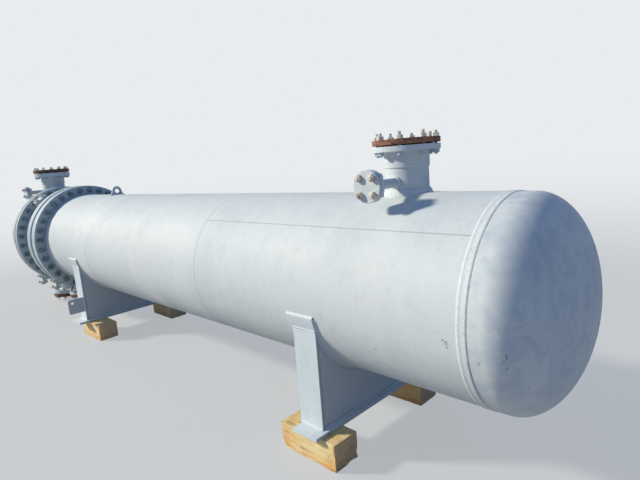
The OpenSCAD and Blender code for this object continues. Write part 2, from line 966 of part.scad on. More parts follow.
rear_course();
front_course();
rear_head();
head_weld_band();
girth_welds();
shell_flange();
spacer_ring();
spool_front_flange();
shell_joint_studs();
spool_barrel();
spool_bonnet_flange();
tubesheet();
bonnet_flange();
bonnet_joint_studs();
bonnet_barrel();
bonnet_head();
rear_nozzle();
rear_nozzle_blind();
rear_nozzle_studs();
spool_nozzle();
spool_nozzle_blind();
spool_nozzle_studs();
bonnet_nozzle(0);  // bonnet_top_nozzle
bonnet_blind(0);  // bonnet_top_blind
bonnet_studs(0);  // bonnet_top_studs
bonnet_nozzle(1);  // bonnet_bottom_nozzle
bonnet_blind(1);  // bonnet_bottom_blind
bonnet_studs(1);  // bonnet_bottom_studs
side_nozzles();
side_blinds();
side_studs();
nozzle_gaskets();
wear_plate(rear_saddle_x);  // rear_wear_plate
saddle_web(rear_saddle_x);  // rear_saddle_web
saddle_ribs(rear_saddle_x);  // rear_saddle_ribs
base_plate(rear_saddle_x);  // rear_base_plate
wear_plate(front_saddle_x);  // front_wear_plate
saddle_web(front_saddle_x);  // front_saddle_web
saddle_ribs(front_saddle_x);  // front_saddle_ribs
base_plate(front_saddle_x);  // front_base_plate
lifting_lug();
pull_lugs();
rear_timbers();
front_timbers();
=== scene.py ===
# %% [markdown]
# # A shell and tube heat exchanger on timber blocks
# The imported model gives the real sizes, so the first cell loads it and keeps its box. Everything
# made later is set against that frame, in metres, and nothing of it is moved or resized.

# %% Load the frame
import random
from math import acos, asin, copysign, cos, pi, radians, sin, sqrt, tan, tau

import bpy
from mathutils import Matrix, Vector, noise


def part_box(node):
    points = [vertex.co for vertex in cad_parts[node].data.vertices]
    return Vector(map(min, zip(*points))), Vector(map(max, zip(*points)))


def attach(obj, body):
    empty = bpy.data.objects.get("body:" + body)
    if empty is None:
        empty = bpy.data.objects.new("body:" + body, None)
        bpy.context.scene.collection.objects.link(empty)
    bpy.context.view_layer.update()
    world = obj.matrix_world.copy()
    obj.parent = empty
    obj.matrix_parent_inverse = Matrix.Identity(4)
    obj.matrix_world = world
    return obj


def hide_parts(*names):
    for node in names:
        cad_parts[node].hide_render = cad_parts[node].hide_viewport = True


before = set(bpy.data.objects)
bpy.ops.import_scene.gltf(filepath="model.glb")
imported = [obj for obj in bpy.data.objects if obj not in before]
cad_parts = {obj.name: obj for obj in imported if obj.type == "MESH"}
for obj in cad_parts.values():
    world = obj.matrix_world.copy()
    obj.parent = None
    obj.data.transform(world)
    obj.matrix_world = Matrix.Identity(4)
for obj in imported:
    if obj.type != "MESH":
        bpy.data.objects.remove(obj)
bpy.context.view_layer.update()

scene = bpy.context.scene
X, Y, Z = Vector((1, 0, 0)), Vector((0, 1, 0)), Vector((0, 0, 1))


def new_object(name, data):
    made = bpy.data.objects.new(name, data)
    scene.collection.objects.link(made)
    return made


print("nodes in the frame:", len(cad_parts))

# %% [markdown]
# ## Driving sizes
# The shell's radius and its axis come from the rear course. Places along the vessel are the edges
# of the nodes that meet there, so a change in the model carries over to every piece made here. Most
# places round the vessel are a `spoke`, a direction from the axis, times a distance.


# %% Read the sizes off the frame
def low(node):
    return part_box(node)[0]


def high(node):
    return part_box(node)[1]


def centre(node):
    return (low(node) + high(node)) / 2


shell_r = (high("rear_course").y - low("rear_course").y) / 2
axis_z = centre("rear_course").z
head_weld_x = high("rear_course").x
mid_seam_x = low("rear_course").x
bonnet_seam_x = low("bonnet_barrel").x
MM = 0.001


def on_axis(x):
    return Vector((x, 0, axis_z))


def spoke(angle):
    """The direction out from the axis, at an angle from straight down that turns towards +Y."""
    return Vector((0, sin(angle), -cos(angle)))


print(f"shell radius {shell_r:.4f} m, axis {axis_z:.4f} m above the ground")

# %% [markdown]
# ## Camera
# The photograph was taken from the rear end's near side, a little above the vessel. The viewpoint
# is given in shell radii from the rear head's weld, with the camera's turn, tilt and roll.

# %% Place the camera
VIEW_FROM = Vector((1.7408, -4.2469, 1.4153))
TURN, TILT, ROLL = 0.7857, -0.1664, -0.0780
FOCAL_PX = 483.87
PHOTO_WIDTH_PX = 640

ahead = Vector((-sin(TURN) * cos(TILT), cos(TURN) * cos(TILT), sin(TILT)))
level = Vector((cos(TURN), sin(TURN), 0))
upright = level.cross(ahead)
right = cos(ROLL) * level + sin(ROLL) * upright
up = cos(ROLL) * upright - sin(ROLL) * level

camera_data = bpy.data.cameras.new("camera")
camera_data.lens = FOCAL_PX * camera_data.sensor_width / PHOTO_WIDTH_PX
camera = new_object("camera", camera_data)
camera.matrix_world = (Matrix.Translation(on_axis(head_weld_x) + VIEW_FROM * shell_r)
                       @ Matrix((right, up, -ahead)).transposed().to_4x4())
scene.camera = camera
print(f"lens {camera_data.lens:.1f} mm, camera {camera.matrix_world.translation.z:.2f} m up")

# %% [markdown]
# ## Shader sums
# A finish is easier to read as a formula than as a list of nodes. `Wire` holds one socket of a
# shader tree. Sums of wires add Math nodes, and every other node comes from `node`.


# %% A socket that can be used in sums
class Wire:
    def __init__(self, tree, socket):
        self.tree, self.socket = tree, socket

    def node(self, kind, inputs={}, output=0, **settings):
        made = self.tree.nodes.new("ShaderNode" + kind)
        for key, value in settings.items():
            setattr(made, key, value)
        for key, value in inputs.items():
            if isinstance(value, Wire):
                self.tree.links.new(value.socket, made.inputs[key])
            else:
                made.inputs[key].default_value = value
        return Wire(self.tree, made.outputs[output] if len(made.outputs) else None)

    def math(self, operation, *values):
        return self.node("Math", dict(enumerate(values)), operation=operation)

    def __add__(self, other):
        return self.math("ADD", self, other)

    def __sub__(self, other):
        return self.math("SUBTRACT", self, other)

    def __rsub__(self, other):
        return self.math("SUBTRACT", other, self)

    def __mul__(self, other):
        return self.math("MULTIPLY", self, other)

    __radd__, __rmul__ = __add__, __mul__

    def __rtruediv__(self, other):
        return self.math("DIVIDE", other, self)

    def __pow__(self, other):
        return self.math("POWER", self, other)

    def size(self):
        return self.math("ABSOLUTE", self)

    def larger(self, other):
        return self.math("MAXIMUM", self, other)

    def distance(self, point):
        """How far this place is from a point, in metres."""
        return self.node("VectorMath", {0: self, 1: point}, 1, operation="DISTANCE")

    def between(self, start, end):
        """0 below start and 1 above end, with a soft step."""
        return self.node("MapRange", {"Value": self, "From Min": start, "From Max": end},
                         interpolation_type="SMOOTHSTEP")

    def part(self, index):
        return self.node("SeparateXYZ", {0: self}, index)

    def stretch(self, scale):
        return self.node("VectorMath", {0: self, 1: scale}, operation="MULTIPLY")

    def cloud(self, scale=1.0, detail=3.0, rough=0.5, warp=0.0):
        """Noise about 0.5 on this vector."""
        return self.node("TexNoise", {"Vector": self, "Scale": scale, "Detail": detail,
                                      "Roughness": rough, "Distortion": warp})

    def pick(self, first, second):
        """The first colour where this wire is 0 and the second where it is 1."""
        return self.node("Mix", {0: self, 6: first, 7: second}, 2, data_type="RGBA")

    def toward(self, colour, factor):
        """This colour mixed with another by the factor."""
        return factor.pick(self, colour)


def rgb(red, green, blue):
    """A colour given as it looks on a screen, 0 to 255, as shader light values."""
    return tuple((c / 255 / 12.92) if c <= 10 else ((c / 255 + 0.055) / 1.055) ** 2.4
                 for c in (red, green, blue)) + (1.0,)


print("wires ready")

# %% [markdown]
# ## A finish
# Each finish is a Principled surface. The recipe gets the wire of the place on the object, in the
# vessel's own metres, so a pattern has the same scale on every piece and doesn't need unwrapping.
# Everything here stands outdoors, so all finishes share one low sheen.


# %% Make a material from a recipe
SHEEN = 0.3


def cleared(owner):
    """A material's or world's emptied node tree, as a wire to start from."""
    owner.use_nodes = True
    owner.node_tree.nodes.clear()
    return Wire(owner.node_tree, None)


def finish(name, recipe, metallic=0.0):
    material = bpy.data.materials.new(name)
    start = cleared(material)
    place = start.node("TexCoord", output=3)
    facing = start.node("NewGeometry", output=1)
    colour, roughness, relief, depth, *metal = recipe(place, facing)
    bump = start.node("Bump", {"Height": relief, "Distance": depth})
    surface = start.node("BsdfPrincipled", {
        "Base Color": colour, "Roughness": roughness, "Normal": bump, "Specular IOR Level": SHEEN,
        "Metallic": metal[0] if metal else metallic})
    start.node("OutputMaterial", {"Surface": surface})
    return material


# %% [markdown]
# ## Vessel paint
# The vessel wears one pale grey-blue coat put on with roller and brush, so it is never one colour.
# Broad clouds show where the coat is thin, faint strokes run round the vessel, and dust has settled
# in specks. Noise that is squeezed along X and left long across it gives strokes that follow the
# curve without a seam. The seams of the plates show through as thin grey lines.

# %% Paint colours
PAINT = rgb(219, 224, 222)
PAINT_THIN = rgb(204, 212, 213)
PAINT_CHALK = rgb(230, 232, 228)
RUST_SPECK = rgb(140, 104, 78)
# A grey for real dirt, dust and seam lines, and also for painted shade on faces that look down.
GRIME_AND_UNDERSIDE_SHADE = rgb(112, 118, 122)
STAIN = rgb(206, 196, 160)


def coat(place, facing, fine, grime_and_shade, base=PAINT, thin=PAINT_THIN):
    """The paint's colour, roughness and relief. fine stretches the brush strokes."""
    broad = place.cloud(1.4, 4, 0.5, 0.3).between(0.36, 0.68)
    strokes = place.stretch(fine).cloud(1, 4, 0.65)
    bristles = place.stretch([f * 4.5 for f in fine]).cloud(1, 3, 0.6)
    chalk = place.cloud(6, 5, 0.6).between(0.52, 0.76)
    colour = (broad * 0.6 + strokes * 0.25).pick(base, thin)
    colour = colour.toward(PAINT_CHALK, strokes.between(0.5, 0.75) * 0.35 + chalk * 0.3)
    # Faces that look down are darkened towards that grey as painted shade; the dust clouds and specks are
    # real dirt.
    under = (0 - facing.part(2)).between(0.1, 1.0)
    dust = place.cloud(14, 6, 0.72).between(0.48, 0.8)
    speck = place.cloud(130, 3, 0.5).between(0.66, 0.74) * place.cloud(3.1, 3).between(0.42, 0.6)
    colour = colour.toward(GRIME_AND_UNDERSIDE_SHADE, (under * 0.25 + dust * 0.22) * grime_and_shade + speck * 0.25)
    rust = place.cloud(60, 2, 0.4).between(0.75, 0.78) * place.cloud(4, 2).between(0.52, 0.62)
    colour = colour.toward(RUST_SPECK, rust * grime_and_shade)
    roughness = 0.6 + broad * 0.08 + chalk * 0.12 + dust * 0.1
    relief = strokes * 0.5 + bristles * 0.35 + place.cloud(170, 2) * 0.3
    return colour, roughness, relief


print("paint base", [round(c, 3) for c in PAINT[:3]])

# %% [markdown]
# ### The shell's own marks
# Rolled plates carry their history: ground seams that stay a shade darker, pale arcs where the
# roller overlapped, a few scuffs from handling and three yellowish stains. Each scuff is a soft patch
# at one place of the shell, and inside it the zero line of a noise draws thin crooked scratches.

# %% Shell paint
LONG_SEAM_FROM_Y = radians(134.4)
FRONT_SEAM_FROM_Y = radians(40)
RULED_LINE_X = head_weld_x - 3.87
SEAM_LINE, SEAM_WAVER, SEAM_FADE = 3.2 * MM, 4 * MM, 2 * MM


def on_side(from_weld, degrees, r=shell_r):
    """A point of the shell: metres from the head's weld, degrees from the near side up."""
    a = radians(degrees)
    return Vector((head_weld_x + from_weld, -r * cos(a), axis_z + r * sin(a)))


def thin_line(distance, width):
    return 1 - distance.size().between(width * 0.5, width * 1.3)


def seam_shade(place):
    """1 along the girth seam and the two long seams, and less along the ruled line."""
    x, y, z = place.part(0), place.part(1), place.part(2) - axis_z
    waver = (place.cloud(9, 3) - 0.5) * SEAM_WAVER
    lines = thin_line(x - mid_seam_x + waver, SEAM_LINE)
    lines = lines + thin_line(x - RULED_LINE_X + waver, SEAM_LINE) * 0.6
    for angle, start, end in ((LONG_SEAM_FROM_Y, mid_seam_x, head_weld_x),
                              (FRONT_SEAM_FROM_Y, low("front_course").x, mid_seam_x)):
        across = y * sin(angle) - z * cos(angle)
        outside = y * cos(angle) + z * sin(angle)
        here = (x - start).between(0, SEAM_FADE) * (end - x).between(0, SEAM_FADE)
        lines = lines + thin_line(across + waver, SEAM_LINE) * here * outside.between(0, 0.1)
    return lines


def scuffs(place, marks):
    """Crooked scratches near each of the marks: (point, reach in metres)."""
    crack = place.stretch((75, 26, 20)).cloud(1, 4, 0.62, 0.5) - 0.5
    scratch = 1 - crack.size().between(0.01, 0.05)
    patches = [1 - place.distance(point).between(reach * 0.35, reach) for point, reach in marks]
    return scratch * sum(patches[1:], patches[0])


SHELL_SCUFFS = [(on_side(-0.1, -5.6), 0.02), (on_side(-0.085, -8.2), 0.017),
                (on_side(-0.471, -21.4), 0.012)]
SHELL_STAINS = [(on_side(-2.468, 80), 0.06), (on_side(-0.603, 41.8), 0.045),
                (on_side(-0.514, 23.5), 0.04)]
SHELL_SCRATCH = rgb(92, 100, 108)
WEATHERED = rgb(192, 203, 205)


def shell_coat(place, facing):
    colour, roughness, relief = coat(place, facing, (34, 3.0, 3.0), 0.7)
    high_side = (place.part(2) - axis_z).between(0.15, 0.42)
    colour = colour.toward(WEATHERED, place.cloud(9, 6, 0.66).between(0.46, 0.66) * high_side * 0.25)
    arcs = place.stretch((3.1, 0.7, 0.7)).cloud(1, 4, 0.55, 0.3).between(0.53, 0.68)
    forward = (mid_seam_x - place.part(0)).between(-0.2, 0.9)
    colour = colour.toward(PAINT_CHALK, arcs * (forward * 0.4 + 0.2))
    colour = colour.toward(GRIME_AND_UNDERSIDE_SHADE, seam_shade(place) * 0.42)
    colour = colour.toward(SHELL_SCRATCH, scuffs(place, SHELL_SCUFFS) * 0.8)
    for point, reach in SHELL_STAINS:
        patch = 1 - place.distance(point).between(reach * 0.2, reach)
        colour = colour.toward(STAIN, patch * place.cloud(18, 4).between(0.35, 0.7) * 0.35)
    streaks = place.stretch((95, 6, 3)).cloud(1, 3, 0.6).between(0.55, 0.72)
    low_side = (axis_z - place.part(2)).between(0.05, 0.4)
    colour = colour.toward(PAINT_THIN, streaks * low_side * 0.5)
    return colour, roughness, relief - seam_shade(place) * 0.5, 0.0007


shell_paint = finish("shell_paint", shell_coat)
print("scuffs:", len(SHELL_SCUFFS), "stains:", len(SHELL_STAINS))

# %% [markdown]
# ### Heads, nozzles, plates and welds
# The same coat, with less stroke on the pressed heads, which were sprayed and have dried in clouds and
# runs, and with more thick paint on welds. Plates get more dust, and more painted shade on faces that
# look down. The faces of the webs and the toes of their welds get painted shade as well, and the
# flanges' paint is darkened as painted shade. A recipe with other numbers makes each of them.

# %% Head paint
DOME_SCUFF_X, DOME_SCUFF_R = 0.136, shell_r * 0.944
HEAD_SCUFFS = [(on_side(DOME_SCUFF_X, degrees, DOME_SCUFF_R), reach)
               for degrees, reach in ((-8.5, 0.015), (-11.3, 0.019), (-14.3, 0.013))]
HEAD_SCUFFS.append((on_side(0.036, -13.3), 0.016))
HEAD_SCRATCH = rgb(92, 100, 112)
HEAD_CLOUD = rgb(180, 194, 202)
HEAD_WET = rgb(182, 192, 206)
HEAD_DAPPLE = rgb(184, 195, 206)


def head_coat(place, facing):
    colour, roughness, relief = coat(place, facing, (5, 5, 1.6), 0.5)
    mottle = place.cloud(8, 6, 0.62, 0.5).between(0.42, 0.66)
    skirt = 1 - (place.part(0).size() - head_weld_x).between(0.02, 0.2)
    colour = colour.toward(HEAD_CLOUD, mottle * (skirt * 0.6 + 0.12))
    colour = colour.toward(HEAD_SCRATCH, scuffs(place, HEAD_SCUFFS) * 0.8)
    wet = place.stretch((5, 5, 0.9)).cloud(1, 4, 0.6).between(0.54, 0.7)
    colour = colour.toward(HEAD_WET, wet * 0.35)
    dapple = place.stretch((12, 17, 12)).cloud(1, 6, 0.62, 0.6).between(0.44, 0.6)
    colour = colour.toward(HEAD_DAPPLE, dapple * (0.5 - skirt * 0.25))
    runs = place.stretch((30, 38, 3)).cloud(1, 4, 0.6).between(0.5, 0.68)
    colour = colour.toward(PAINT_THIN, runs * (axis_z - place.part(2)).between(0.12, 0.4) * 0.6)
    return colour, roughness - 0.05, relief * 0.6, 0.0005


head_paint = finish("head_paint", head_coat)
print("scuffs on the head:", len(HEAD_SCUFFS))


# %% Plate, nozzle, flange and weld paint
def cradle(end):
    """How far a saddle's wear plate wraps, from straight down, and the radius of its outer face."""
    wrap = acos((axis_z - high(end + "_wear_plate").z) / shell_r)
    return wrap, high(end + "_wear_plate").y / sin(wrap)


WEB_END = high("rear_saddle_web").y
TOE, TOE_LINE, END_LINE = 8 * MM, 3 * MM, 4 * MM
# Two colours of painted shade: one over the webs' faces, one along the toes of their welds.
WEB_PAINTED_SHADE, TOE_PAINTED_SHADE = rgb(142, 150, 156), rgb(98, 108, 120)


def plate_coat(place, facing):
    """Saddle paint, with painted shade on the faces of the webs and along the toes of their welds."""
    base, thin = rgb(218, 227, 229), rgb(206, 217, 221)
    colour, roughness, relief = coat(place, facing, (12, 12, 5), 1.1, base, thin)
    y, z = place.part(1).size(), place.part(2)
    from_axis = (y * y + (axis_z - z) * (axis_z - z)) ** 0.5
    toes = thin_line(y - WEB_END, END_LINE) + thin_line(y - WEB_END + TOE, TOE_LINE) * 0.6
    toes = toes + thin_line(from_axis - cradle("rear")[1] - TOE, TOE_LINE)
    toes = toes + thin_line(z - high("rear_base_plate").z - TOE, TOE_LINE)
    # The faces that look along X, those of the webs, are darkened as painted shade, and so are the thin
    # lines along their weld toes.
    across = facing.part(0).size().between(0.9, 0.97)
    colour = colour.toward(WEB_PAINTED_SHADE, across * 0.4)
    return colour.toward(TOE_PAINTED_SHADE, toes * across * 0.55), roughness, relief, 0.0005


def simple_coat(name, fine, grime_and_shade, base, thin, depth):
    def recipe(place, facing):
        return (*coat(place, facing, fine, grime_and_shade, base, thin), depth)
    return finish(name, recipe)


nozzle_paint = simple_coat("nozzle_paint", (9, 9, 30), 0.9, rgb(216, 222, 222), rgb(200, 210, 213), 0.0006)
plate_paint = finish("plate_paint", plate_coat)
# The flanges wear the vessel's paint, darkened here as painted shade.
shaded_flange_paint = simple_coat("shaded_flange_paint", (26, 9, 9), 1.2, rgb(192, 205, 208), rgb(164, 181, 187), 0.0006)
weld_paint = simple_coat("weld_paint", (24, 24, 24), 0.8, rgb(226, 230, 229), rgb(206, 215, 218), 0.001)
print("paints:", [m.name for m in bpy.data.materials])

# %% [markdown]
# ## Bare and coated steel
# The blind flanges are bare forgings with a skin of rust, orange where it is thin and almost black
# where oil has kept it. The upper nuts on the nozzles are bright zinc, and those under the flanges
# were painted with them, so one material holds both and changes with the height.

# %% Steel finishes
RUST_DARK = rgb(86, 62, 64)
RUST_MID = rgb(160, 112, 86)
RUST_PALE = rgb(220, 160, 116)
RUST_FLAKE = rgb(204, 152, 112)
OILY = rgb(52, 44, 44)
ZINC, ZINC_DULL = rgb(238, 238, 230), rgb(202, 200, 190)
PAINTED_NUT = rgb(188, 201, 208)
ZINC_FROM = 0.745


def rusted(dark):
    """Rust that dark, from 0 to 1, takes towards oiled black."""
    def recipe(place, facing):
        mottled = place.cloud(26, 6, 0.68)
        stain = place.stretch((11, 11, 18)).cloud(1, 5, 0.62, 0.4)
        flake = place.cloud(70, 4, 0.6).between(0.56, 0.7)
        colour = mottled.between(0.38, 0.62).pick(RUST_DARK, RUST_MID)
        colour = colour.toward(RUST_PALE, stain.between(0.5, 0.68) * 0.75)
        colour = colour.toward(RUST_FLAKE, flake * 0.35)
        colour = colour.toward(OILY, stain.between(0.3, 0.46) * 0.3 * dark + dark * 0.3)
        grit = place.cloud(300, 3, 0.6)
        return colour, 0.7 + mottled * 0.2, mottled * 0.6 + grit * 0.4 - flake * 0.3, 0.0012
    return recipe


def coated_steel(pale, dull, rust):
    def recipe(place, facing):
        blotch = place.cloud(34, 4, 0.6)
        fleck = place.cloud(210, 3, 0.6)
        colour = blotch.between(0.35, 0.65).pick(pale, dull)
        colour = colour.toward(RUST_MID, fleck.between(0.58, 0.7) * rust)
        return colour, 0.45 + blotch * 0.25, fleck, 0.0003
    return recipe


def nut_recipe(place, facing):
    """Zinc on the nuts that are far from the axis, and the flanges' paint on the others."""
    blotch = place.cloud(40, 4, 0.6)
    fleck = place.cloud(190, 3, 0.6)
    upper = (place.part(2) - axis_z).size().between(ZINC_FROM, ZINC_FROM + 0.01)
    zinc = blotch.between(0.35, 0.65).pick(ZINC, ZINC_DULL)
    zinc = zinc.toward(RUST_PALE, fleck.between(0.58, 0.7) * 0.3)
    colour = upper.pick(PAINTED_NUT, zinc)
    return colour, 0.5 + blotch * 0.2 - upper * 0.1, fleck, 0.0003, upper * 0.25


blind_steel = finish("blind_steel", rusted(0.0))
dark_blind_steel = finish("dark_blind_steel", rusted(1.0))
nozzle_nut_steel = finish("nozzle_nut_steel", nut_recipe)
body_nut_paint = finish("body_nut_paint", coated_steel(rgb(128, 150, 158), rgb(84, 104, 110), 0.3), 0.1)
side_nut_steel = finish("side_nut_steel", coated_steel(rgb(226, 218, 210), rgb(180, 166, 154), 0.4), 0.15)
dark_steel = finish("dark_steel", coated_steel(rgb(98, 98, 98), rgb(66, 65, 66), 0.5), 0.2)
gasket_sheet = finish("gasket_sheet", coated_steel(rgb(56, 56, 60), rgb(38, 38, 42), 0.1))
print("steels ready")

# %% [markdown]
# ## Timber
# The blocks are rough-sawn pine. Growth rings lie round a pith line that runs along the block, so
# the long faces show stretched grain and the ends show the rings. Dirt has greyed the ends, dry
# splinters stay pale, and the foot of each block has drawn up a darker orange stain.

# %% Wood
PINE = rgb(252, 226, 168)
PINE_ORANGE = rgb(236, 180, 104)
PINE_SPLINTER = rgb(250, 236, 200)
PINE_GREY = rgb(222, 184, 142)
PINE_DARK = rgb(116, 84, 52)
END_DIRT = rgb(120, 100, 80)
DRY_CRACK = rgb(70, 52, 36)
PITH_BELOW = 0.07
TIMBER_TOP = high("rear_timbers").z


def sawn_pine(place, facing):
    bent = place.stretch((1.2, 5, 5)).cloud(1, 3, 0.5)
    across = place.part(1) + bent * 0.06
    upward = place.part(2) + bent * 0.05 + PITH_BELOW
    ring = (across * across + upward * upward) ** 0.5
    growth = ring * 85 + place.cloud(3) * 2
    rings = growth.math("FRACT", growth).between(0.15, 0.95)
    fibre = place.stretch((7, 170, 170)).cloud(1, 4, 0.6)
    foot = (TIMBER_TOP * 0.45 - place.part(2)).between(0, TIMBER_TOP * 0.4)
    tint = place.cloud(7, 5, 0.6).between(0.38, 0.64) * 0.6 + foot * 0.5
    colour = tint.pick(PINE, PINE_ORANGE)
    colour = colour.toward(PINE_DARK, rings * 0.13 + fibre.between(0.56, 0.8) * 0.2)
    splinter = place.stretch((14, 60, 60)).cloud(1, 5, 0.65).between(0.52, 0.66)
    colour = colour.toward(PINE_SPLINTER, splinter * 0.7)
    end = facing.part(0).size().between(0.7, 0.95)
    grey = place.cloud(5, 5, 0.65).between(0.5, 0.72)
    colour = colour.toward(PINE_GREY, end * 0.85 + grey * 0.12)
    grit = place.cloud(110, 4, 0.7).between(0.45, 0.7)
    colour = colour.toward(END_DIRT, grit * end * 0.4 + grit * 0.06)
    crack = (place.stretch((3, 60, 26)).cloud(1, 2, 0.4, 0.5) - 0.5).size()
    crack = (1 - crack.between(0.002, 0.014)) * place.cloud(9, 2).between(0.5, 0.6)
    colour = colour.toward(DRY_CRACK, crack * 0.7)
    return colour, 0.78 + fibre * 0.15, fibre * 0.5 + splinter * 0.5 - crack * 1.2 + grit * 0.3, 0.0022


pine = finish("pine", sawn_pine)
print("wood ready")

# %% [markdown]
# ## Carried-over plates and forgings
# Plates, flanges and barrels already have their right shape in the model, and only get a finish. A
# Weld modifier joins the corners that the file format splits, and a narrow Bevel catches the light
# on edges that are never perfectly sharp on flame-cut and turned steel.


# %% Dress a node of the model
WORN_EDGE = 1.6 * MM


def dress(node, material, edge):
    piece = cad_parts[node]
    piece.data.materials.clear()
    piece.data.materials.append(material)
    piece.data.shade_smooth()
    weld = piece.modifiers.new("join_corners", "WELD")
    weld.merge_threshold = 1e-5
    if edge:
        bevel = piece.modifiers.new("worn_edge", "BEVEL")
        bevel.width = edge
        bevel.segments = 2
        bevel.limit_method = "ANGLE"
        bevel.angle_limit = radians(35)
    normals = piece.modifiers.new("even_shading", "WEIGHTED_NORMAL")
    normals.keep_sharp = True


SADDLE_PARTS = ("_wear_plate", "_saddle_ribs", "_saddle_web", "_base_plate")
FINISH_OF = {
    shell_paint: ("rear_course", "front_course", "spool_barrel", "bonnet_barrel"),
    shaded_flange_paint: ("shell_flange", "spool_front_flange", "spool_bonnet_flange", "bonnet_flange"),
    plate_paint: ("lifting_lug", "pull_lugs",
                  *(end + part for end in ("rear", "front") for part in SADDLE_PARTS)),
    nozzle_paint: ("rear_nozzle", "spool_nozzle", "bonnet_top_nozzle", "bonnet_bottom_nozzle",
                   "side_nozzles"),
    blind_steel: ("rear_nozzle_blind", "spool_nozzle_blind"),
    dark_blind_steel: ("bonnet_top_blind", "bonnet_bottom_blind"),
    dark_steel: ("spacer_ring", "tubesheet"),
    gasket_sheet: ("nozzle_gaskets",),
}
NO_EDGE = FINISH_OF[shell_paint] + FINISH_OF[gasket_sheet]
for material, names in FINISH_OF.items():
    for name in names:
        dress(name, material, 0 if name in NO_EDGE else WORN_EDGE)
print("dressed nodes:", sum(1 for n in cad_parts.values() if n.modifiers))

# %% [markdown]
# ## Building pieces
# Pieces made here are collected in a `Pile`: a list of corners and faces that any number of small
# shapes can be added to. One pile becomes one object, so a ring of studs is one mesh.


# %% A pile of shapes
class Pile:
    def __init__(self):
        self.corners, self.faces = [], []

    def add(self, shape, place=Matrix.Identity(4)):
        corners, faces = shape
        base = len(self.corners)
        self.corners += [place @ Vector(c) for c in corners]
        order = -1 if place.determinant() < 0 else 1
        self.faces += [[base + i for i in face[::order]] for face in faces]

    def piece(self, name, material, sharp=40, replaces=(), slot="vessel_paint"):
        mesh = bpy.data.meshes.new(name)
        mesh.from_pydata(self.corners, [], self.faces)
        mesh.materials.append(material)
        mesh.shade_smooth()
        mesh.set_sharp_from_angle(angle=radians(sharp))
        made = new_object(name, mesh)
        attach(made, "root")
        if replaces:
            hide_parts(*replaces)
        print(f"{name}: {len(self.faces)} faces")


def lathe(profile, steps):
    """A closed profile of (radius, height) points turned round Z."""
    corners, rings = [], []
    for radius, height in profile:
        count = steps if radius > 1e-6 else 1
        start = len(corners)
        for i in range(count):
            a = tau * i / steps
            corners.append((radius * cos(a), radius * sin(a), height))
        rings.append([start + i % count for i in range(steps)])
    faces = []
    for i, ring in enumerate(rings):
        after = rings[(i + 1) % len(rings)]
        for j in range(steps):
            k = (j + 1) % steps
            face = list(dict.fromkeys((ring[j], ring[k], after[k], after[j])))
            if len(face) > 2:
                faces.append(face)
    return corners, faces


def along_vessel(x):
    """The place of a shape drawn round Z, turned to lie along the vessel at x."""
    return Matrix.Translation(on_axis(x)) @ Matrix.Rotation(pi / 2, 4, "Y")


print("pile and lathe ready")

# %% [markdown]
# ## Dished ends
# A pressed head is half of an ellipsoid that is twice as wide as it is long, behind a short straight
# skirt. The model carries it as cones, which is right for its size. Here the same two curves are
# turned with many more steps, so that the long highlight on the rear head stays unbroken.

# %% Turn the heads
HEAD_WALL = 14 * MM
HEAD_SKIRT = 54 * MM
CURVE_STEPS, ROUND_STEPS = 48, 160


def head_profile(depth):
    curve = [pi / 2 * i / CURVE_STEPS for i in range(CURVE_STEPS + 1)]
    outer, inner = [[((shell_r - t) * cos(a), HEAD_SKIRT + (depth - t) * sin(a)) for a in curve]
                    for t in (0, HEAD_WALL)]
    return [(shell_r, 0)] + outer + inner[::-1] + [(shell_r - HEAD_WALL, 0)]


for name, start, side in (("rear_head", head_weld_x, 1), ("bonnet_head", bonnet_seam_x, -1)):
    depth = high(name).x - low(name).x - HEAD_SKIRT
    head = Pile()
    head.add(lathe(head_profile(depth), ROUND_STEPS), along_vessel(start) @ Matrix.Scale(side, 4, Z))
    head.piece(name + "_shell", head_paint, replaces=(name,))

# %% [markdown]
# ## Weld beads
# A bead is a low ridge of small overlapping waves where the arc moved on. It is swept along a path:
# at each step a flat arch is set across the path, and its height and width wander a little.

# %% Sweep a bead
BEAD_STEP = 4.5 * MM
WAVE_STEPS = 3
ARCH = [pi * i / 6 for i in range(7)]
SINK = 1.2 * MM


def net(rows, columns, rows_meet, columns_meet):
    """Faces over corners listed row by row. What meets is joined from its last one to its first."""
    faces = []
    for i in range(rows if rows_meet else rows - 1):
        for k in range(columns if columns_meet else columns - 1):
            here, after = i * columns, (i + 1) % rows * columns
            m = (k + 1) % columns
            faces.append([here + k, after + k, after + m, here + m])
    return faces


def sweep_bead(run, width, height, seed, closed=False):
    """The bead's corners and faces. A run is a list of points and one of outward directions."""
    path, outward = run
    luck = random.Random(seed)
    count, corners = len(path), []
    for i in range(count):
        after = path[(i + 1) % count] if closed or i < count - 1 else path[i]
        before = path[i - 1] if closed or i > 0 else path[i]
        side = (after - before).cross(outward[i]).normalized()
        wave = 0.5 + 0.5 * cos(tau * (i % WAVE_STEPS) / WAVE_STEPS)
        tall = height * (0.82 + 0.3 * wave + luck.uniform(-0.1, 0.1))
        wide = width / 2 * (0.93 + 0.1 * wave + luck.uniform(-0.06, 0.06))
        for a in ARCH:
            lift = tall * sin(a) - (SINK if a in (ARCH[0], ARCH[-1]) else 0)
            corners.append(path[i] + side * (wide * cos(a)) + outward[i] * lift)
    ring = len(ARCH)
    faces = net(count, ring, closed, True)
    if not closed:
        faces.append(list(range(ring)))
        faces.append([(count - 1) * ring + k for k in reversed(range(ring))])
    return corners, faces


def fillet(run, leg, seed, closed=False):
    """A bead that fills the corner along a run whose directions point out of the corner."""
    path, outward = run
    raised = [p + o * (leg * sqrt(0.5)) for p, o in zip(path, outward)]
    return sweep_bead((raised, outward), leg * sqrt(2), leg * 0.22, seed, closed)


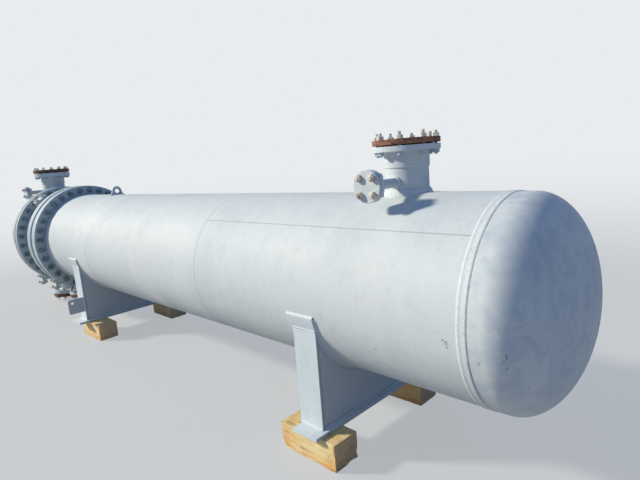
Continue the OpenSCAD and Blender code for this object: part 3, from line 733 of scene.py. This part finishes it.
def line(start, end, outward):
    """A straight run."""
    count = max(2, round((end - start).length / BEAD_STEP))
    return [start.lerp(end, i / count) for i in range(count + 1)], [outward.normalized()] * (count + 1)


def across_node(node, foot, outward, inset=0.0):
    """A straight run along X through foot, as long as the node without the inset at both ends."""
    return line(foot + X * (low(node).x + inset), foot + X * (high(node).x - inset), outward)


def round_vessel(x, radius, start=0.0, end=tau, lean=0 * X):
    """A run round the vessel at x between two angles. The directions may lean along X."""
    count = round((end - start) * radius / BEAD_STEP / WAVE_STEPS) * WAVE_STEPS
    whole = end - start > tau - 1e-6
    spokes = [spoke(start + (end - start) * i / count) for i in range(count if whole else count + 1)]
    return [on_axis(x) + s * radius for s in spokes], [(s + lean).normalized() for s in spokes]


print("bead step", BEAD_STEP)

# %% [markdown]
# ### Seams of the vessel
# The seam between the two courses was ground almost flush. Those at the hubs of the body flanges
# were left as welded. The rear head's joint is wider: a dressed band with a soft ridge on its shell
# side and a groove before the head, painted dark inside as painted shade.

# %% Seams
SEAM_WIDTH, SEAM_HEIGHT = 10 * MM, 1.6 * MM
GROUND_WIDTH, GROUND_HEIGHT, LONG_SEAM_HEIGHT = 7 * MM, 0.5 * MM, 0.7 * MM
BESIDE_HUB = 4 * MM
BODY_JOINTS = (("shell_joint_studs", low("front_course").x, high("spool_barrel").x),
               ("bonnet_joint_studs", low("spool_barrel").x, high("bonnet_barrel").x))
HUB_SEAMS = [x for _, rear, front in BODY_JOINTS for x in (rear + BESIDE_HUB, front - BESIDE_HUB)]

seams = Pile()
for number, x in enumerate((*HUB_SEAMS, bonnet_seam_x)):
    seams.add(sweep_bead(round_vessel(x, shell_r), SEAM_WIDTH, SEAM_HEIGHT, number, True))
seams.add(sweep_bead(round_vessel(mid_seam_x, shell_r), GROUND_WIDTH, GROUND_HEIGHT, 7, True))
for angle, node in ((LONG_SEAM_FROM_Y, "rear_course"), (FRONT_SEAM_FROM_Y, "front_course")):
    radial = Vector((0, cos(angle), sin(angle)))
    seams.add(sweep_bead(across_node(node, on_axis(0) + radial * shell_r, radial),
                         GROUND_WIDTH, LONG_SEAM_HEIGHT, 9))
seams.piece("seam_beads", shell_paint, 60, ("girth_welds",))

# %% Band over the head's weld
GROOVE = 4.5 * MM
RIDGE_AT, RIDGE_WIDTH = 0.15, 9 * MM
BAND_STEPS = 240
BAND_PAINT, BAND_RIPPLE, GROOVE_PAINTED_SHADE = rgb(228, 232, 231), rgb(186, 196, 204), rgb(70, 80, 92)
BAND_PROFILE = ((0.0, -0.3), (0.02, 0.55), (0.1, 1.0), (0.22, 0.96), (0.34, 0.62), (0.56, 0.56),
                (0.76, 0.82), (0.88, 0.7), (0.93, 0.1), (0.97, 0.06), (1.0, -0.3))
band_low, band_high = low("head_weld_band").x, high("head_weld_band").x
band_w = band_high - band_low
band_h = high("head_weld_band").z - axis_z - shell_r


def band_coat(place, facing):
    colour, roughness, relief = coat(place, facing, (60, 8, 8), 0.5, BAND_PAINT, PAINT)
    # The groove is painted dark as painted shade.
    groove = 1 - (band_high - place.part(0) - GROOVE * 0.3).between(0, GROOVE * 0.8)
    ripple = place.stretch((120, 70, 70)).cloud(1, 4, 0.65)
    colour = colour.toward(BAND_RIPPLE, ripple.between(0.5, 0.66) * 0.6)
    return colour.toward(GROOVE_PAINTED_SHADE, groove * 0.8), roughness, relief * 0.5 + ripple * 0.7, 0.0012


band_paint = finish("band_paint", band_coat)
band = Pile()
band.add(lathe([(shell_r + band_h * rise, band_low + band_w * along) for along, rise in BAND_PROFILE],
               BAND_STEPS), along_vessel(0))
band.add(sweep_bead(round_vessel(band_low + band_w * RIDGE_AT, shell_r + band_h * 0.6),
                    RIDGE_WIDTH, band_h * 0.35, 21, True))
band.piece("head_band", band_paint, 60, ("head_weld_band",))

# %% [markdown]
# ### Welds of the nozzles
# A neck that stands on a curved shell is welded along a saddle-shaped line. Here the weld is a skirt
# of rings that starts on the shell just outside the model's own fillet and climbs to the neck in
# three rough passes.

# %% Nozzle welds
FILLET, FILLET_SINK = 22 * MM, 4 * MM
PASSES, PASS_HEIGHT = 3, 2.2 * MM
CROWN, ROUGH, TUCK, MARGIN = 1.5 * MM, 1.3 * MM, 1.5 * MM, 3 * MM
RINGS, RING_STEP, HALVINGS = 9, 4 * MM, 30


def cone_foot(neck_r, a):
    """How far from the neck's axis the model's fillet meets the shell, at the turn a."""
    base = sqrt(shell_r ** 2 - (neck_r + FILLET) ** 2) - FILLET_SINK
    slope = (shell_r + FILLET - base) / FILLET
    near, far = neck_r, neck_r + 1.5 * FILLET
    for _ in range(HALVINGS):
        mid = (near + far) / 2
        shell_z = sqrt(shell_r ** 2 - (mid * sin(a)) ** 2)
        above = shell_r + FILLET - (mid - neck_r) * slope > shell_z
        near, far = (mid, far) if above else (near, mid)
    return near


def neck_weld(neck_r, seed):
    """A skirt of rings round a neck, from the shell up to the model's fillet."""
    count, corners = round(tau * neck_r / RING_STEP), []
    for i in range(count):
        a = tau * i / count
        foot_r = cone_foot(neck_r, a) + MARGIN
        foot_z = sqrt(shell_r ** 2 - (foot_r * sin(a)) ** 2)
        top_z = shell_r + FILLET + MARGIN
        out = Vector((cos(a), sin(a), 1)).normalized()
        for k in range(RINGS):
            t = k / (RINGS - 1)
            p = Vector((cos(a), sin(a), 0)) * (foot_r + (neck_r - foot_r) * t)
            p.z = foot_z + (top_z - foot_z) * t
            bulge = abs(sin(pi * t * PASSES)) ** 0.6 * PASS_HEIGHT + sin(pi * t) * CROWN
            rough = noise.noise(Vector((seed, i * 0.55, k * 0.8))) * ROUGH
            corners.append(p + out * (-TUCK if k in (0, RINGS - 1) else bulge + rough))
    return corners, net(count, RINGS, True, False)


def ring_run(count, radius, at, axis, tilt):
    """A circle of points round an axis square to X. The directions lean along it by the tilt."""
    other = axis.cross(X)
    ways = [X * cos(tau * i / count) + other * sin(tau * i / count) for i in range(count)]
    return [at + w * radius for w in ways], [(w + axis * tilt).normalized() for w in ways]


print("weld rings", RINGS)

# %% Weld every nozzle to its barrel
# A size is the neck's radius, the height of the neck's step, the studs' count and their circle.
SHELL_SIZE = (109.6 * MM, 135 * MM, 8, 298.5 * MM)
BONNET_SIZE = (127.3 * MM, 155 * MM, 12, 357.5 * MM)
LARGE = (("rear_nozzle", "rear_nozzle_studs", 1, SHELL_SIZE),
         ("spool_nozzle", "spool_nozzle_studs", -1, SHELL_SIZE),
         ("bonnet_top_nozzle", "bonnet_top_studs", 1, BONNET_SIZE),
         ("bonnet_bottom_nozzle", "bonnet_bottom_studs", -1, BONNET_SIZE))
STEP_SWELL, STEP_WIDTH, STEP_HEIGHT = 2.5 * MM, 12 * MM, 2.6 * MM
PIPE_R, PIPE_LEG, PIPE_SINK, VENT_SINK = 24.2 * MM, 9 * MM, 1 * MM, 0.5 * MM
NECK_POINTS, PIPE_POINTS = 150, 36
SIDE_HEIGHT = 58.5 * MM
VENT_LEAN = radians(35)

welds = Pile()
for number, (node, _, sign, (neck_r, step_z, _, _)) in enumerate(LARGE):
    below = on_axis(centre(node).x)
    welds.add(neck_weld(neck_r, number * 7.3), Matrix.Translation(below) @ Matrix.Scale(sign, 4, Z))
    step = ring_run(NECK_POINTS, neck_r + STEP_SWELL, below + Z * sign * (shell_r + step_z), Z, 0)
    welds.add(sweep_bead(step, STEP_WIDTH, STEP_HEIGHT, number, True))
    pipe_foot = below + Z * sign * (shell_r + SIDE_HEIGHT) - Y * (neck_r - PIPE_SINK)
    welds.add(fillet(ring_run(PIPE_POINTS, PIPE_R, pipe_foot, -Y, 1), PIPE_LEG, number, True))
vent_axis = spoke(pi + VENT_LEAN)
vent_foot = on_axis(centre("spool_nozzle").x) + vent_axis * (shell_r - VENT_SINK)
welds.add(fillet(ring_run(PIPE_POINTS, PIPE_R, vent_foot, vent_axis, 1), PIPE_LEG, 5, True))
welds.piece("nozzle_welds", weld_paint, 70)

# %% [markdown]
# ### Welds of the saddles
# Each plate of a saddle is welded along its corners. All runs are found from the plates' boxes, so
# they stay in the corners at any size. The heaviest ones are on top: over the wear plate's upper edge,
# and over the end ribs in two steps. These are a piece of their own, thick with pale paint.

# %% Saddle welds
HEAVY_LEG, PLATE_LEG, FINE_LEG = 12 * MM, 7 * MM, 4 * MM
LOWER_BEAD, UPPER_BEAD = (13 * MM, 5 * MM), (11 * MM, 4 * MM)
RIB_SEAT, TOP_INSET, TOP_SINK = 3 * MM, 4 * MM, 2 * MM
EDGE_INSET, UPPER_INSET = 2 * MM, 1 * MM
UPPER_TURN = 0.024


def saddle_welds(end):
    wear, ribs, web, base = [end + part for part in SADDLE_PARTS]
    pile, tops = Pile(), Pile()
    wrap, cradle_r = cradle(end)
    top = high(base).z
    rib_y, web_y = high(ribs).y, high(web).y
    rib_angle = asin((rib_y - RIB_SEAT) / cradle_r)
    web_angle = asin(web_y / cradle_r)
    for s in (-1, 1):
        edge, up_edge = spoke(s * wrap), spoke(s * (wrap + pi / 2))
        tops.add(fillet(across_node(wear, on_axis(0) + edge * shell_r, edge + up_edge, EDGE_INSET),
                        HEAVY_LEG, 31))
        radial = spoke(s * rib_angle)
        on_rib = Vector((0, s * (rib_y - TOP_INSET), high(ribs).z - TOP_SINK))
        tops.add(sweep_bead(across_node(ribs, on_rib, radial + Z * 1.2), *LOWER_BEAD, 32))
        above = on_axis(0) + spoke(s * (rib_angle + UPPER_TURN)) * cradle_r
        tops.add(sweep_bead(across_node(ribs, above, radial, UPPER_INSET), *UPPER_BEAD, 33))
        for face, way in ((rib_y, s), (web_y, -s)):
            pile.add(fillet(across_node(ribs, Vector((0, s * face, top)), Y * way + Z), PLATE_LEG, 34))
        for x, way, leg in ((high(web).x, 1, FINE_LEG), (low(web).x, -1, PLATE_LEG)):
            inner = Vector((x, s * web_y, 0))
            reach_z = axis_z - sqrt(cradle_r ** 2 - web_y ** 2)
            pile.add(fillet(line(inner + Z * top, inner + Z * reach_z, X * way - Y * s), leg, 35))
    for x, way in ((low(wear).x, -1), (high(wear).x, 1)):
        pile.add(fillet(round_vessel(x, shell_r, -wrap, wrap, X * way), PLATE_LEG, 36))
    for x, way in ((low(web).x, -1), (high(web).x, 1)):
        pile.add(fillet(round_vessel(x, cradle_r, -web_angle, web_angle, X * way), PLATE_LEG, 37))
        foot = Vector((x, 0, top))
        pile.add(fillet(line(foot - Y * web_y, foot + Y * web_y, X * way + Z), PLATE_LEG, 38))
    pile.piece(end + "_saddle_welds", plate_paint, 70)
    tops.piece(end + "_saddle_top_beads", weld_paint, 70)


for end in ("rear", "front"):
    saddle_welds(end)

# %% Lug welds
LUG_LEG, PULL_LEG = 9 * MM, 6 * MM
lugs = Pile()
spread = asin(high("lifting_lug").y / shell_r)
for x, way in ((low("lifting_lug").x, -1), (high("lifting_lug").x, 1)):
    lugs.add(fillet(round_vessel(x, shell_r, pi - spread, pi + spread, X * way), LUG_LEG, 41))
for s in (-1, 1):
    radial = spoke(pi - s * spread)
    foot = on_axis(0) + radial * shell_r
    lugs.add(fillet(across_node("lifting_lug", foot, radial + Y * s, -LUG_LEG * 0.6), LUG_LEG, 42))
    for x, way in ((low("pull_lugs").x, -1), (high("pull_lugs").x, 1)):
        side = Vector((x, s * high("front_saddle_ribs").y, 0))
        lugs.add(fillet(line(side + Z * low("pull_lugs").z, side + Z * high("pull_lugs").z,
                             X * way + Y * s), PULL_LEG, 43))
lugs.piece("lug_welds", weld_paint, 70)

# %% [markdown]
# ## Studs and nuts
# A heavy nut is a six-sided prism whose corners are turned back to a cone on the outer face. The
# stud stands past it by a few threads. A thread this small reads as rings, so the end of the stud
# is a lathe profile of ridges.


# %% Nut and stud end
NUT_SIDES, STUD_SIDES = 24, 14
CHAMFER_SLOPE = tan(radians(30))


def nut(across_flats, height, hole_r):
    """A nut from 0 up to the height, turned back to a cone round its upper face."""
    sides, half = NUT_SIDES, across_flats / 2
    cone_r = half * 0.96
    rings = [[], [], [], []]
    for i in range(sides):
        a = tau * i / sides
        hex_r = half / cos(a % (pi / 3) - pi / 6)
        edge_z = height - (hex_r - cone_r) * CHAMFER_SLOPE
        for ring, r, z in zip(rings, (hex_r, hex_r, cone_r, hole_r), (0, edge_z, height, height)):
            ring.append((r * cos(a), r * sin(a), z))
    corners = [c for ring in rings for c in ring]
    faces = [face[::-1] for face in net(4, sides, False, True)]
    faces.append(list(reversed(range(sides))))
    faces.append([3 * sides + j for j in range(sides)])
    return corners, faces


def thread_end(diameter, height):
    """A threaded stud end from 0 up to the height, with a chamfered tip."""
    r, pitch = diameter / 2, diameter * 0.14
    turns = max(1, int((height - pitch) / pitch))
    profile = [(0, 0), (r * 0.9, 0)]
    for i in range(turns):
        profile += [(r * 0.88, (i + 0.1) * pitch), (r, (i + 0.5) * pitch), (r, (i + 0.6) * pitch)]
    profile += [(r * 0.88, turns * pitch), (r * 0.97, height - pitch * 0.5), (r * 0.8, height), (0, height)]
    return lathe(profile, STUD_SIDES)


def joint_studs(node, material, rows, across_flats, diameter):
    """Studs at each place of rows: (place along the stud, joint thickness, tails at both ends)."""
    luck, pile = random.Random(len(node)), Pile()
    core_r, nut_height = diameter * 0.46, diameter * 0.98
    for place, grip, tails in rows:
        pile.add(lathe([(0, 0), (core_r, 0), (core_r, grip), (0, grip)], STUD_SIDES), place)
        for end, tail in enumerate(tails):
            out = place @ (Matrix.Translation((0, 0, grip)) if end else Matrix.Rotation(pi, 4, "X"))
            turned = out @ Matrix.Rotation(luck.uniform(0, pi / 3), 4, "Z")
            pile.add(nut(across_flats, nut_height, core_r), turned)
            stand = nut_height + tail * luck.uniform(0.6, 1.0)
            pile.add(thread_end(diameter, stand), out)
    pile.piece(node + "_made", material, 35, (node,), "fasteners")


def bolt_places(count, pcd):
    """Turns and shifts for a bolt circle that straddles the centre lines."""
    return [Matrix.Rotation(tau * (i + 0.5) / count, 4, "Z") @ Matrix.Translation((pcd / 2, 0, 0))
            for i in range(count)]


print("nut faces:", len(nut(46 * MM, 28 * MM, 13 * MM)[1]))

# %% Body joints
BODY_BOLTS = (32, 1099.6 * MM)
BODY_STUD, BODY_NUT = 31.8 * MM, 50.8 * MM
HUB_LEN, TAIL = 48 * MM, 8 * MM
for name, rear, front in BODY_JOINTS:
    rows = [(along_vessel(front + HUB_LEN) @ place, rear - front - 2 * HUB_LEN, (TAIL, TAIL))
            for place in bolt_places(*BODY_BOLTS)]
    joint_studs(name, body_nut_paint, rows, BODY_NUT, BODY_STUD)

# %% [markdown]
# ### Nozzle joints
# The large nozzles' studs stand out far past their outer nuts. Each joint's thickness is read off
# its stud node, whose box is the joint with a nut and a tail on both sides.

# %% Nozzle studs
NOZZLE_STUD, NOZZLE_NUT, LONG_TAIL = 19 * MM, 31.8 * MM, 18 * MM
for _, name, sign, (_, _, *bolts) in LARGE:
    tails = (TAIL, LONG_TAIL) if sign > 0 else (LONG_TAIL, TAIL)
    bottom = low(name).z + NOZZLE_STUD + tails[0]
    grip = high(name).z - NOZZLE_STUD - tails[1] - bottom
    base = Matrix.Translation((centre(name).x, 0, bottom))
    rows = [(base @ place, grip, tails) for place in bolt_places(*bolts)]
    joint_studs(name, nozzle_nut_steel, rows, NOZZLE_NUT, NOZZLE_STUD)

# %% [markdown]
# ### Side nozzle joints
# A flange with a raised face touches its gasket only near the bore, so a dark gap runs round the
# joint. The model's blinds are plain discs. Here each one is turned with its raised face.

# %% Side nozzle blinds and studs
SIDE_BOLTS, SIDE_RIM = (4, 114.3 * MM), 77.6 * MM
SIDE_GRIP, SIDE_REACH = 40 * MM, 338 * MM
BLIND_BACK, RAISED_R = 22 * MM, 36.5 * MM
BLIND_FACE = BLIND_BACK + 3.4 * MM
FACE_EDGE, BACK_EDGE, BLIND_STEPS = 1.2 * MM, 1.8 * MM, 64
BLIND_PROFILE = [(0, BLIND_BACK), (RAISED_R, BLIND_BACK), (RAISED_R, BLIND_FACE),
                 (SIDE_RIM - FACE_EDGE, BLIND_FACE), (SIDE_RIM, BLIND_FACE + FACE_EDGE),
                 (SIDE_RIM, SIDE_GRIP - BACK_EDGE), (SIDE_RIM - BACK_EDGE, SIDE_GRIP), (0, SIDE_GRIP)]
VENT_REACH = shell_r + 97 * MM

joints = [Matrix.Translation(on_axis(centre(node).x) - Y * (SIDE_REACH - SIDE_GRIP)
                             + Z * sign * (shell_r + SIDE_HEIGHT)) @ Matrix.Rotation(pi / 2, 4, "X")
          for node, _, sign, _ in LARGE]
joints.append(Matrix.Translation(on_axis(centre("spool_nozzle").x)) @ Matrix.Rotation(VENT_LEAN, 4, "X")
              @ Matrix.Translation((0, 0, VENT_REACH - SIDE_GRIP)))
side_rows, blinds = [], Pile()
for joint in joints:
    side_rows += [(joint @ place, SIDE_GRIP, (TAIL, TAIL)) for place in bolt_places(*SIDE_BOLTS)]
    blinds.add(lathe(BLIND_PROFILE, BLIND_STEPS), joint)
blinds.piece("side_blinds_turned", nozzle_paint, 30, ("side_blinds",))
joint_studs("side_studs", side_nut_steel, side_rows, NOZZLE_NUT, NOZZLE_STUD)

# %% [markdown]
# ## Timber blocks
# A sawn block isn't a clean box. A fine grid over the box is pulled in round the edges, roughened
# with noise that runs along the grain, and nibbled at the corners where it has been dragged about.

# %% Cut the timbers
GRID = 5 * MM
ROUNDING, RAGGED, KNOCK = 4 * MM, 3 * MM, 42 * MM
GRAIN, SAW_MARK = 0.9 * MM, 0.5 * MM
TIMBER_LENGTH, TIMBER_WIDTH = 406 * MM, 178 * MM


def block(foot, size, seed):
    """A worn block whose lowest corner is at foot."""
    counts = [round(s / GRID) for s in size]
    corners, faces, known = [], [], {}

    def corner(key):
        if key not in known:
            p = Vector([size[n] * (key[n] / counts[n] - 0.5) for n in range(3)])
            known[key] = len(corners)
            corners.append(foot + size / 2 + worn(p, size / 2, seed))
        return known[key]

    for axis in range(3):
        u, v = (axis + 1) % 3, (axis + 2) % 3
        for side in (0, counts[axis]):
            for a in range(counts[u]):
                for b in range(counts[v]):
                    ring = []
                    for da, db in ((0, 0), (1, 0), (1, 1), (0, 1)):
                        key = [0, 0, 0]
                        key[axis], key[u], key[v] = side, a + da, b + db
                        ring.append(corner(tuple(key)))
                    faces.append(ring if side else ring[::-1])
    return corners, faces


def worn(p, half, seed):
    """A point of the block pulled in by its rounded edges, saw marks and knocks."""
    at = Vector((seed * 3.7, 0, 0)) + p
    knock = max(0, noise.noise(at * 11) - 0.18) * KNOCK
    edge = ROUNDING + knock + RAGGED * noise.noise(at * 45)
    inner = Vector([max(-(h - edge), min(h - edge, c)) for c, h in zip(p, half)])
    over = p - inner
    rounded = inner + over.normalized() * min(over.length, edge)
    grain = GRAIN * (1 + noise.noise(Vector((at.x * 5, at.y * 90, at.z * 90))))
    saw = SAW_MARK * (1 + noise.noise(Vector((at.x * 130, at.y * 9, at.z * 9))))
    return Vector([c - copysign(grain + saw, c) if abs(abs(c) - h) < 1e-4 else c
                   for c, h in zip(rounded, half)])


timber_size = Vector((TIMBER_LENGTH, TIMBER_WIDTH, TIMBER_TOP))
for seed, (name, near_x) in enumerate((("rear_timbers", high("rear_timbers").x - TIMBER_LENGTH),
                                       ("front_timbers", low("front_timbers").x))):
    pile = Pile()
    for step, (x, y) in enumerate(((near_x, low(name).y), (low(name).x, high(name).y - TIMBER_WIDTH))):
        pile.add(block(Vector((x, y, 0)), timber_size, 1 + 2 * seed + step))
    pile.piece(name + "_cut", pine, 50, (name,), "timber")

# %% [markdown]
# ## Studio
# A plain pale floor and soft light. One broad sun stands where the photograph's does, to the near
# left, and an even sky fills the shade. The floor fades into the backdrop with distance, for the
# camera and for reflections only, so there is no horizon and the floor still takes the shadow.

# %% Floor and light
FLOOR = rgb(174, 176, 176)
BACKDROP = rgb(233, 236, 238)
FLOOR_REACH, FLOOR_EDGE = 4.5, 90
SUN_TOWARDS = Vector((-0.703, -0.513, 0.49))
SUN_STRENGTH, SUN_WIDTH = 3.8, radians(6)
SUN_COLOUR = (1.0, 0.94, 0.805)
SKY = (0.1, 0.182, 0.37, 1)


def seen_directly(start):
    """1 for rays that end in the camera, straight or by a reflection or through glass."""
    camera_ray, glossy, through_glass = [start.node("LightPath", output=o) for o in (0, 3, 6)]
    return camera_ray.larger(glossy.larger(through_glass))


floor_mesh = bpy.data.meshes.new("floor")
corners = [(x * FLOOR_EDGE, y * FLOOR_EDGE, 0) for x, y in ((-1, -1), (1, -1), (1, 1), (-1, 1))]
floor_mesh.from_pydata(corners, [], [(0, 1, 2, 3)])
floor = new_object("floor", floor_mesh)
floor_paint = bpy.data.materials.new("studio_floor")
start = cleared(floor_paint)
place = start.node("TexCoord", output=3)
near = (FLOOR_REACH / place.distance((0, 0, 0))).between(0.05, 1.0)
matt = start.node("BsdfPrincipled", {"Base Color": FLOOR, "Roughness": 0.9})
glow = start.node("Emission", {"Color": BACKDROP})
mixed = start.node("MixShader", {0: seen_directly(start) * (1 - near * 0.5), 1: matt, 2: glow})
start.node("OutputMaterial", {"Surface": mixed})
floor_mesh.materials.append(floor_paint)

# %% Sun and sky
sun_data = bpy.data.lights.new("sun", "SUN")
sun_data.energy, sun_data.angle, sun_data.color = SUN_STRENGTH, SUN_WIDTH, SUN_COLOUR
sun = new_object("sun", sun_data)
sun.rotation_euler = SUN_TOWARDS.to_track_quat("Z", "Y").to_euler()

world = bpy.data.worlds.new("studio")
start = cleared(world)
light_sky = start.node("Background", {"Color": SKY})
plain_sky = start.node("Background", {"Color": BACKDROP})
mixed = start.node("MixShader", {0: seen_directly(start), 1: light_sky, 2: plain_sky})
start.node("OutputWorld", {"Surface": mixed})
scene.world = world
scene.view_settings.view_transform = "Standard"
print("sun", tuple(round(c, 2) for c in SUN_TOWARDS), "sky", SKY[:3])
